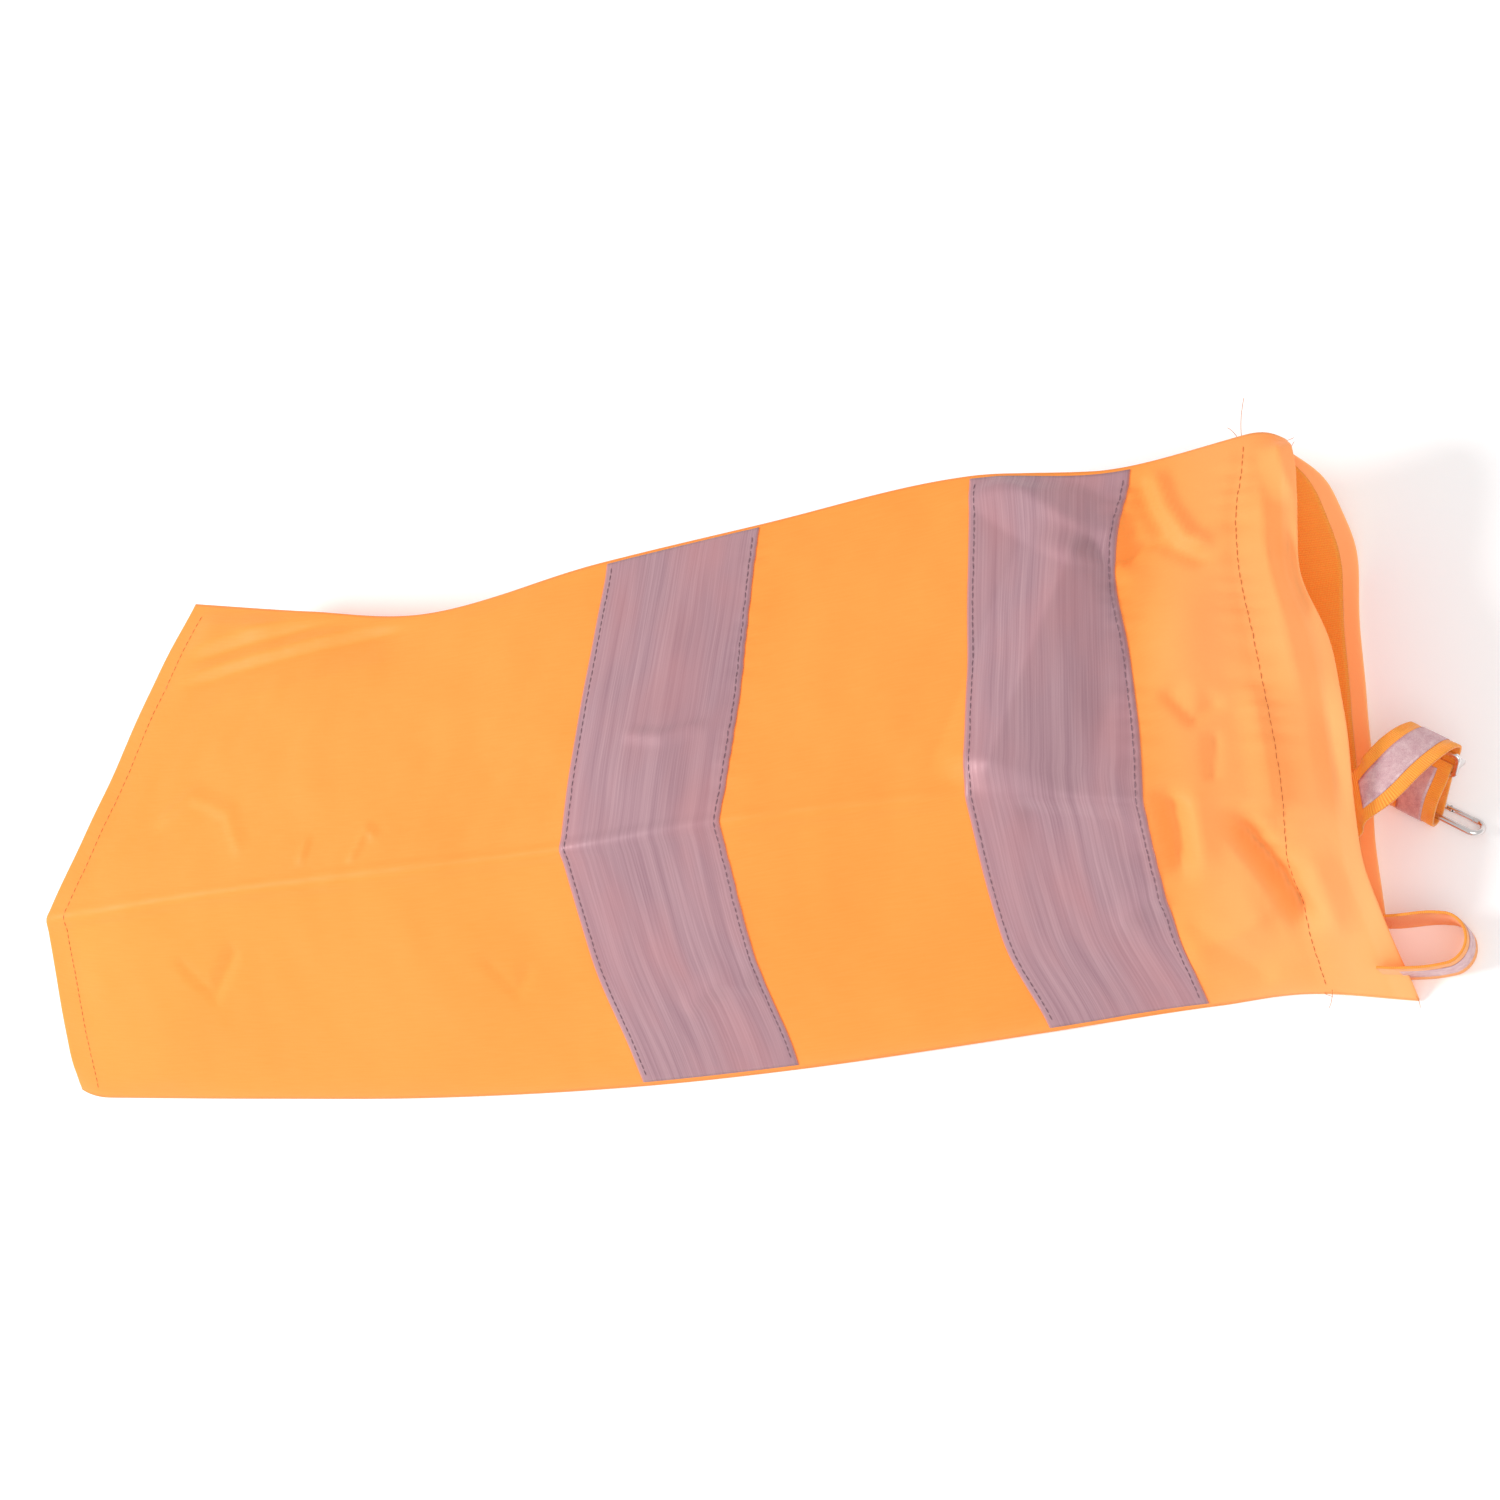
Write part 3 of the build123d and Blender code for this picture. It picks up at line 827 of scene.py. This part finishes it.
# ---- Stitching ------------------------------------------------------------------------------
def thread_run(line, out):
    """Single stitches along a line, each a short thread that dips into the cloth at its ends."""
    distance = lengths(line, 0)
    points, faces = [], []
    start = STITCH_PITCH / 2
    ring = np.arange(THREAD_SIDES) * 2 * math.pi / THREAD_SIDES
    bow = np.sin(np.linspace(0.05, 0.95, STITCH_RINGS) * math.pi)
    size = STITCH_RADIUS * (0.55 + 0.45 * bow)
    while start + STITCH_LENGTH < distance[-1]:
        wander = rng.normal(0, 0.00012, 2)
        at = start + np.linspace(0, STITCH_LENGTH, STITCH_RINGS)
        middle = np.stack([np.interp(at, distance, line[:, i]) for i in range(3)], axis=-1)
        up = unit(np.stack([np.interp(at, distance, out[:, i]) for i in range(3)], axis=-1))
        ahead = unit(np.gradient(middle, axis=0))
        side = unit(np.cross(up, ahead))
        middle = middle + up * (bow[:, None] * 0.00032 - 0.00018)
        middle = middle + side * np.linspace(wander[0], wander[1], STITCH_RINGS)[:, None]
        faces.append(tube_faces(STITCH_RINGS) + len(points) * THREAD_SIDES)
        for m, s, u, r in zip(middle, side, up, size):
            points.append(m + r * (np.cos(ring)[:, None] * s + np.sin(ring)[:, None] * u))
        start += STITCH_PITCH * (1 + rng.normal(0, 0.03))
    return np.concatenate(points), np.concatenate(faces)


def tube_faces(rings):
    """The quads round a thread made of rings of vertices."""
    turn = np.arange(THREAD_SIDES)
    ahead = (turn + 1) % THREAD_SIDES
    one = np.stack([turn, ahead, THREAD_SIDES + ahead, THREAD_SIDES + turn], axis=-1)
    return np.concatenate([one + i * THREAD_SIDES for i in range(rings - 1)])


def loose_end(start, direction, length, curl):
    """The cut end of a thread, standing off in a soft curl."""
    s = np.linspace(0, 1, 14)
    ahead = unit(np.array(direction, float))
    side = unit(np.cross(ahead, [0.2, 0.3, 1.0]))
    lift = np.cross(side, ahead)
    middle = np.array(start) + ahead * (s * length)[:, None]
    middle = middle + side * (curl * length * s**2)[:, None]
    middle = middle + lift * (0.2 * length * np.sin(s * 3.4 + curl * 5))[:, None]
    ring = np.arange(THREAD_SIDES) * 2 * math.pi / THREAD_SIDES
    spokes = np.cos(ring)[:, None] * side + np.sin(ring)[:, None] * lift
    points = np.concatenate([m + LOOSE_THREAD_RADIUS * spokes for m in middle])
    return points, tube_faces(len(s))


def stitching(name, runs, material, node, ends=()):
    """One piece of all the stitches along the runs of (line, normals), and of loose ends."""
    points, faces, count = [], [], 0
    for p, f in [thread_run(line, out) for line, out in runs] + [loose_end(*e) for e in ends]:
        points.append(p)
        faces.append(f + count)
        count += len(p)
    points = np.concatenate(points)
    piece = new_object(name, points, np.concatenate(faces), points[:, :2].copy(), material)
    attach(piece, "sock")
    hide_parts(node)


def across(grid, out, knot, lift):
    """The line across a panel at a knot, short of the seams, with its normals."""
    line = along(grid, knot)[2:-2]
    up = along(out, knot)[2:-2]
    return line + up * lift, up


TAPE_TOP = CLOTH / 2 + TAPE + 0.0002
STITCH_INSET = 0.035
for name, (a, b) in (("band_1", BAND_1), ("band_2", BAND_2)):
    runs = [
        across(grid, out, knot, TAPE_TOP)
        for grid, out in ((front_grid, front_out), (back_grid, back_out))
        for knot in (a + STITCH_INSET, b - STITCH_INSET)
    ]
    stitching(name + "_stitches", runs, GREY_THREAD, name + "_stitching")

tail_knot = TAIL + (TAIL_HEM - 0.003) / (middles[1] - middles[0])
stitching(
    "tail_hem_stitches",
    [
        across(front_grid, front_out, tail_knot, CLOTH / 2),
        across(back_grid, back_out, tail_knot, CLOTH / 2),
    ],
    ORANGE_THREAD,
    "tail_hem_stitching",
)
stitching(
    "mouth_hem_stitches",
    [
        across(front_grid, front_out, HEM_LINE + 0.05, CLOTH / 2),
        across(back_grid, back_out, HEM_LINE + 0.05, CLOTH / 2),
    ],
    ORANGE_THREAD,
    "mouth_hem_stitching",
    ends=[
        (along(front_grid, HEM_LINE + 0.02)[-1], (0.05, 1, 0.35), 0.021, 0.12),
        (along(front_grid, HEM_LINE - 0.03)[-1], (-0.5, 1, 0.2), 0.007, -0.4),
        (along(back_grid, RIM)[-4], (0.8, 0.7, 0.3), 0.008, 0.3),
        (along(back_grid, RIM)[-6], (0.9, -0.1, 0.4), 0.006, -0.5),
        (along(front_grid, HEM_LINE + 0.1)[1], (0.1, -1, 0.1), 0.009, 0.3),
        (along(front_grid, HEM_LINE)[1], (0.5, -0.9, 0.1), 0.006, -0.4),
        (along(front_grid, RIM)[1], (0.6, -0.7, 0.2), 0.006, 0.4),
    ],
)


# ---- Webbing inside the mouth, and the seams -------------------------------------------------
def inner_webbing(name, grid, out, node, facing):
    """A strip inside the mouth, between the turned hem and the rim."""
    window = (slice(row_at(HEM_LINE + 0.22), row_at(RIM - 0.17) + 1), slice(6, -6))
    part = grid[window] - out[window] * (HEM_GAP + CLOTH / 2 + 0.0008)
    uv = flat_uv(part)[..., ::-1]
    piece = slab(name, part, uv, 0.0010, WEB_ORANGE, facing)
    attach(piece, "sock")
    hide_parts(node)


inner_webbing("mouth_webbing_front_tape", front_grid, front_out, "mouth_webbing_front", 1.0)
inner_webbing("mouth_webbing_back_tape", back_grid, back_out, "mouth_webbing_back", -1.0)


def seam_allowance(name, column, node):
    """The two raw edges that stand inside the tube along a seam."""
    first, last = tail_rows + 2, len(rows) - mouth_rows - 2
    front_edge = front_grid[first:last, column]
    back_edge = back_grid[first:last, column]
    inner = 8 if column == 0 else -9
    inside = front_grid[first:last, inner] + back_grid[first:last, inner]
    toward = unit(inside - front_edge - back_edge)
    edge = (front_edge + back_edge) / 2
    depth = np.linspace(0.0012, 0.010, 7)
    wave = 0.0006 * np.sin(lengths(edge, 0) * 190) + 0.0004 * np.sin(lengths(edge, 0) * 431 + 1)
    side = unit(np.cross(toward, unit(np.gradient(edge, axis=0))))
    part = edge[:, None] + toward[:, None] * depth[None, :, None]
    part = part + side[:, None] * (wave[:, None] * (depth / depth[-1]) ** 2)[..., None]
    piece = slab(name, part, flat_uv(part), 0.0007, ORANGE)
    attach(piece, "sock")
    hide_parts(node)


seam_allowance("bottom_seam_allowance", 0, "bottom_seam")
seam_allowance("top_seam_allowance", -1, "top_seam")


# ---- Strap and loop -------------------------------------------------------------------------
def heading(angle):
    return np.array([math.cos(math.radians(angle)), math.sin(math.radians(angle)), 0.0])


rim_station = STATIONS[RIM]
rim_turn = math.atan2(rim_station[1] - rim_station[0], rim_station[6][0] - rim_station[2])
rim_along = np.array([-math.sin(rim_turn), -math.cos(rim_turn), 0.0])


def rim_point(y, z, outside):
    return np.array(place(rim_station, y, z)) + np.array([outside, 0, 0])


across_strap = heading(-32.0)
STRAP_SLOPE = math.radians(46.6)
up_strap = heading(58.0) * math.cos(STRAP_SLOPE) + np.array([0, 0, math.sin(STRAP_SLOPE)])
out_strap = np.cross(across_strap, up_strap)
fold_centre = np.array([0.4220, -0.0385, 0.0094])
FOLD = 0.0055


def on_strap(up_by, out_by):
    return fold_centre + up_strap * up_by + out_strap * out_by


def ribbon_grid(stations, width, columns, offset, step):
    """A flat band through stations of (middle, width direction), raised by offset."""
    centres = np.array([s[0] for s in stations])
    sides = np.array([s[1] for s in stations])
    knots = lengths(centres, 0)
    at = np.linspace(0, knots[-1], max(int(knots[-1] / step), 8))
    line = hermite(knots, centres, at)
    side = unit(hermite(knots, sides, at))
    ahead = unit(np.gradient(line, axis=0))
    up = unit(np.cross(side, ahead))
    line = line + up * offset
    reach = np.linspace(-0.5, 0.5, columns) * width
    grid = line[:, None] + side[:, None] * reach[None, :, None]
    uv = np.stack(np.broadcast_arrays(at[:, None], reach), axis=-1)
    return grid, uv, up


def webbing_band(name, stations, nodes):
    """Webbing with ribbed, slightly thicker edges."""
    grid, uv, up = ribbon_grid(stations, WEBBING_WIDTH, 41, 0.0, 0.00026)
    at, side = uv[..., 0], np.abs(uv[..., 1])
    border = np.clip((side - 0.0108) / 0.0006, 0, 1)
    border = border * np.clip((0.0152 - side) / 0.0006, 0.3, 1)
    bulge = border * (0.00010 + 0.00014 * np.sin(at * 2 * math.pi / 0.0012))
    n, m = grid.shape[:2]
    half = (WEBBING / 2 + bulge)[..., None] * up[:, None]
    points = np.concatenate([(grid + half).reshape(-1, 3), (grid - half).reshape(-1, 3)])
    upper = np.arange(n * m).reshape(n, m)
    lower = upper + n * m
    faces = [quads(upper)[:, ::-1], quads(lower)]
    for a, b in borders(upper, lower):
        faces.append(np.stack([a[:-1], b[:-1], b[1:], a[1:]], axis=-1))
    uvs = np.concatenate([uv.reshape(-1, 2)] * 2)
    piece = new_object(name, points, np.concatenate(faces), uvs, WEB_ORANGE)
    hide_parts(*nodes)
    return piece


def stripe_band(name, stations, node):
    """The reflective stripe down the middle of a band's outer face."""
    offset = WEBBING / 2 + STRIPE / 2 + 0.00005
    grid, uv, _ = ribbon_grid(stations, STRIPE_WIDTH, 9, offset, 0.0009)
    piece = slab(name, grid, uv, STRIPE, BEADS)
    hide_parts(node)
    return piece


fold_arc = [math.radians(-90 - 180 * i / 8) for i in range(9)]
strap_path = [
    (np.array([0.3780, -0.0600, 0.0435]), heading(-52)),
    (np.array([0.3930, -0.0490, 0.0445]), heading(-60)),
    (rim_point(-0.041, 0.046, 0.0006), rim_along),
    (np.array([0.4140, -0.0310, 0.0480]), heading(-52)),
    (np.array([0.4240, -0.0220, 0.0485]), heading(-44)),
    (np.array([0.4325, -0.0150, 0.0465]), heading(-37)),
    (np.array([0.4375, -0.0110, 0.0430]), across_strap),
    (on_strap(0.045, -FOLD), across_strap),
    (on_strap(0.028, -FOLD), across_strap),
    (on_strap(0.011, -FOLD), across_strap),
    *[(on_strap(FOLD * math.cos(a), FOLD * math.sin(a)), across_strap) for a in fold_arc],
    (on_strap(0.008, 0.0062), across_strap),
    (on_strap(0.0145, 0.0052), across_strap),
    (on_strap(0.0205, 0.0022), across_strap),
    (on_strap(0.0255, -0.0002), across_strap),
    (on_strap(0.0290, -0.0010), across_strap),
    (on_strap(0.0335, -0.0034), across_strap),
]
strap = webbing_band("strap", strap_path, ["strap_webbing", "strap_root"])
strap_stripe = stripe_band("strap_reflector", strap_path[2:-1], "strap_stripe")
for piece in (strap, strap_stripe):
    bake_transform(piece)

upright = np.array([0, 0, 1.0])
loop_middle = np.array([0.436, -0.118, 0.0152])
LOOP_RADIUS = 0.014
loop_arc = [math.radians(90 - 180 * i / 8) for i in range(9)]
loop_path = [
    (rim_point(-0.1035, 0.0152, -0.010), upright),
    (rim_point(-0.104, 0.0152, 0.0008), upright),
    *[
        (loop_middle + LOOP_RADIUS * np.array([math.cos(a), math.sin(a), 0]), upright)
        for a in loop_arc
    ],
    (rim_point(-0.1325, 0.0152, 0.0008), upright),
    (rim_point(-0.1315, 0.0152, -0.010), upright),
]
loop = webbing_band("carry_loop", loop_path, ["loop_webbing"])
loop_stripe = stripe_band("carry_loop_reflector", loop_path[1:-1], "loop_stripe")
for piece in (loop, loop_stripe):
    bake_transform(piece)

# ---- Hardware -------------------------------------------------------------------------------
for node, look in (
    ("slide", CHROME),
    ("hook_body", CHROME),
    ("hook_gate", CHROME),
    ("gate_pin", PIN_STEEL),
):
    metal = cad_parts[node]
    metal.data.materials.clear()
    metal.data.materials.append(look)
    metal.data.polygons.foreach_set("use_smooth", [True] * len(metal.data.polygons))
    split = metal.modifiers.new("edges", "EDGE_SPLIT")
    split.split_angle = math.radians(40)

# ---- Floor, light and camera ----------------------------------------------------------------
floor_look = Look("floor")
tone = floor_look.noise(floor_look.solid(), 3.0, 2.0)
floor_colour = floor_look.mix(tone, (0.93, 0.93, 0.93, 1), (0.96, 0.96, 0.96, 1))
floor_material = floor_look.finish(
    floor_look.add(
        "BsdfPrincipled",
        {
            "Base Color": floor_colour,
            "Roughness": 0.8,
            "Emission Color": (1.0, 1.0, 1.0, 1.0),
            "Emission Strength": 0.12,
        },
    ).outputs[0]
)
floor_points = np.array([[x, y, -0.0004] for x, y in ((-6, -6), (6, -6), (6, 6), (-6, 6))])
floor = new_object(
    "floor", floor_points, np.array([[0, 1, 2, 3]]), floor_points[:, :2], floor_material
)

world = bpy.data.worlds.new("studio")
world.use_nodes = True
world.node_tree.nodes["Background"].inputs[0].default_value = (1.0, 1.0, 1.0, 1.0)
world.node_tree.nodes["Background"].inputs[1].default_value = 0.66
bpy.context.scene.world = world


def soft_box(name, spot, size, power):
    light = bpy.data.lights.new(name, "AREA")
    light.shape = "DISK"
    light.size = size
    light.energy = power
    lamp = bpy.data.objects.new(name, light)
    lamp.location = spot
    lamp.rotation_euler = (-Vector(spot)).to_track_quat("-Z", "Y").to_euler()
    bpy.context.scene.collection.objects.link(lamp)


soft_box("key", (-2.7, -0.4, 2.3), 1.0, 86.0)
soft_box("fill", (1.5, -1.2, 2.6), 2.4, 24.0)

CAMERA_DISTANCE = 1.765
CAMERA_TARGET = (0.020, 0.035, 0.0)
back = unit(np.array([0.40, -0.28, 0.87]))
level = unit(np.array([1.0, 0, 0]) - back * back[0])
raised = np.cross(back, level)
roll = math.radians(6.0)
right = math.cos(roll) * level - math.sin(roll) * raised
up = math.sin(roll) * level + math.cos(roll) * raised
camera_data = bpy.data.cameras.new("camera")
camera_data.sensor_width = 36.0
camera_data.lens = 69.6
camera_data.clip_end = 50.0
camera = bpy.data.objects.new("camera", camera_data)
camera.matrix_world = Matrix(
    [
        (r, u, b, b * CAMERA_DISTANCE + t)
        for r, u, b, t in zip(right, up, back, CAMERA_TARGET)
    ]
    + [(0, 0, 0, 1)]
)
bpy.context.scene.collection.objects.link(camera)
bpy.context.scene.camera = camera
bpy.context.scene.view_settings.view_transform = "Standard"
